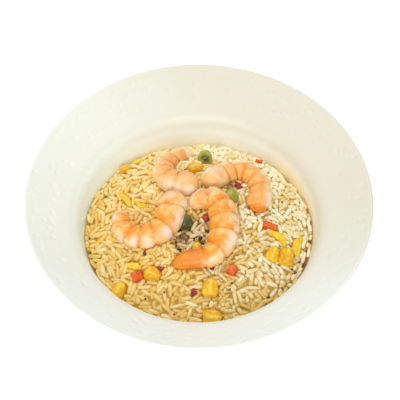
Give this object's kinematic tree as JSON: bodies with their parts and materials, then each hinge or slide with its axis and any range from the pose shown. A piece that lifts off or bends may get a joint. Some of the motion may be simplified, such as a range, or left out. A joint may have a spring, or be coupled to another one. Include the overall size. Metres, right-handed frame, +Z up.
{
  "type": "fried rice in its bowl",
  "caption": "Deep bowl with a wide sloping rim, filled with a heap of fried rice topped with curled prawns, peas, sweetcorn, diced carrot and egg.",
  "frame": {"origin": "middle of the foot's underside, on the surface that the bowl stands on", "axes": "+Z up, -Y towards the eater and the viewer, +X to the viewer's right"},
  "size_m": [0.21, 0.21, 0.06],
  "materials": {
    "glazed_clay": "glossy off-white glaze with small pits",
    "rice": "moist, lightly oiled",
    "prawn": "moist, satin",
    "pea": "satin skin",
    "corn": "satin skin",
    "carrot": "moist",
    "egg": "soft, matt"
  },
  "bodies": {
    "root": {"bowl": "glazed_clay", "rice": "rice", "prawn_front": "prawn", "prawn_left": "prawn", "prawn_back": "prawn", "prawn_right": "prawn", "pea_back": "pea", "pea_right": "pea", "pea_left": "pea", "corn_back": "corn", "corn_right": "corn", "corn_right_low": "corn", "corn_middle": "corn", "corn_left": "corn", "corn_low_left": "corn", "corn_low": "corn", "corn_far_left": "corn", "corn_inner": "corn", "carrot_left": "carrot", "carrot_middle": "carrot", "carrot_right": "carrot", "carrot_back": "carrot", "egg_right": "egg", "egg_far_right": "egg", "egg_left": "egg", "egg_inner_left": "egg", "egg_low_left": "egg"}
  },
  "joints": []
}
